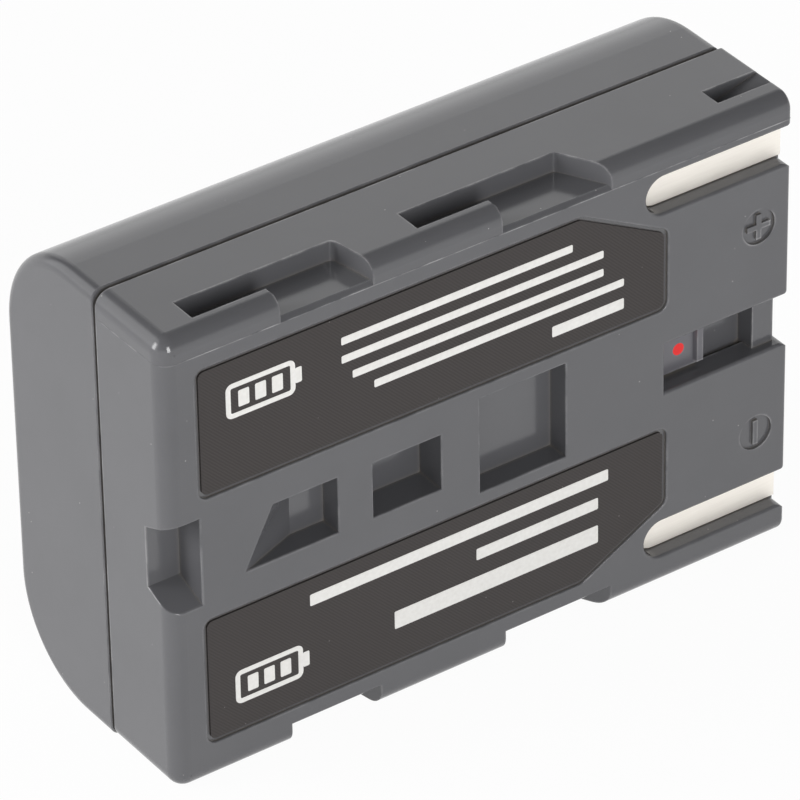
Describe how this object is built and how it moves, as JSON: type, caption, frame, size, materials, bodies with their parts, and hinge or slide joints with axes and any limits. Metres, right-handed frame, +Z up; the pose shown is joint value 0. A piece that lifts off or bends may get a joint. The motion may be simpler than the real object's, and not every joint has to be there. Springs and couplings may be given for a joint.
{
  "type": "camera battery pack",
  "caption": "Grey rechargeable camera battery pack with hooked side slots, two contact strips, polarity marks and a sliding charge marker",
  "frame": {"origin": "under the middle of the pack, on the surface that it stands on with its lower long side down", "axes": "+X runs from the plain end to the contact end, -Y is the mating face, +Z is up across the width"},
  "size_m": [0.06, 0.0224, 0.0424],
  "materials": {
    "case_plastic": "satin moulded",
    "label_film": "printed film",
    "plated_contact": "nickel plated",
    "marker_plastic": "satin moulded",
    "red_plastic": "gloss",
    "cell_steel": "nickel plated can",
    "insulating_paper": "fish paper",
    "nickel_strip": "rolled nickel",
    "wire_sleeve": "plain",
    "foam": "soft foam",
    "tape": "adhesive tape",
    "board": "solder mask",
    "chip_body": "moulded epoxy"
  },
  "bodies": {
    "case": {"front_shell": "case_plastic", "back_shell": "case_plastic", "upper_label": "label_film", "lower_label": "label_film", "positive_contact": "plated_contact", "negative_contact": "plated_contact", "upper_cell": "cell_steel", "lower_cell": "cell_steel", "upper_insulator_ring": "insulating_paper", "lower_insulator_ring": "insulating_paper", "series_link": "nickel_strip", "positive_tab": "nickel_strip", "negative_tab": "nickel_strip", "cell_end_sheet": "insulating_paper", "sense_wire": "wire_sleeve", "end_foam": "foam", "upper_adhesive_pad": "tape", "lower_adhesive_pad": "tape", "protection_board": "board", "switch_chip": "chip_body", "guard_chip": "chip_body", "chip_passives": "chip_body"},
    "marker": {"charge_marker": "marker_plastic", "marker_dot": "red_plastic"}
  },
  "joints": [
    {"name": "marker_slide", "type": "slide", "parent": "case", "child": "marker", "axis": [1, 0, 0], "range_m": [0, 0.0044]}
  ]
}
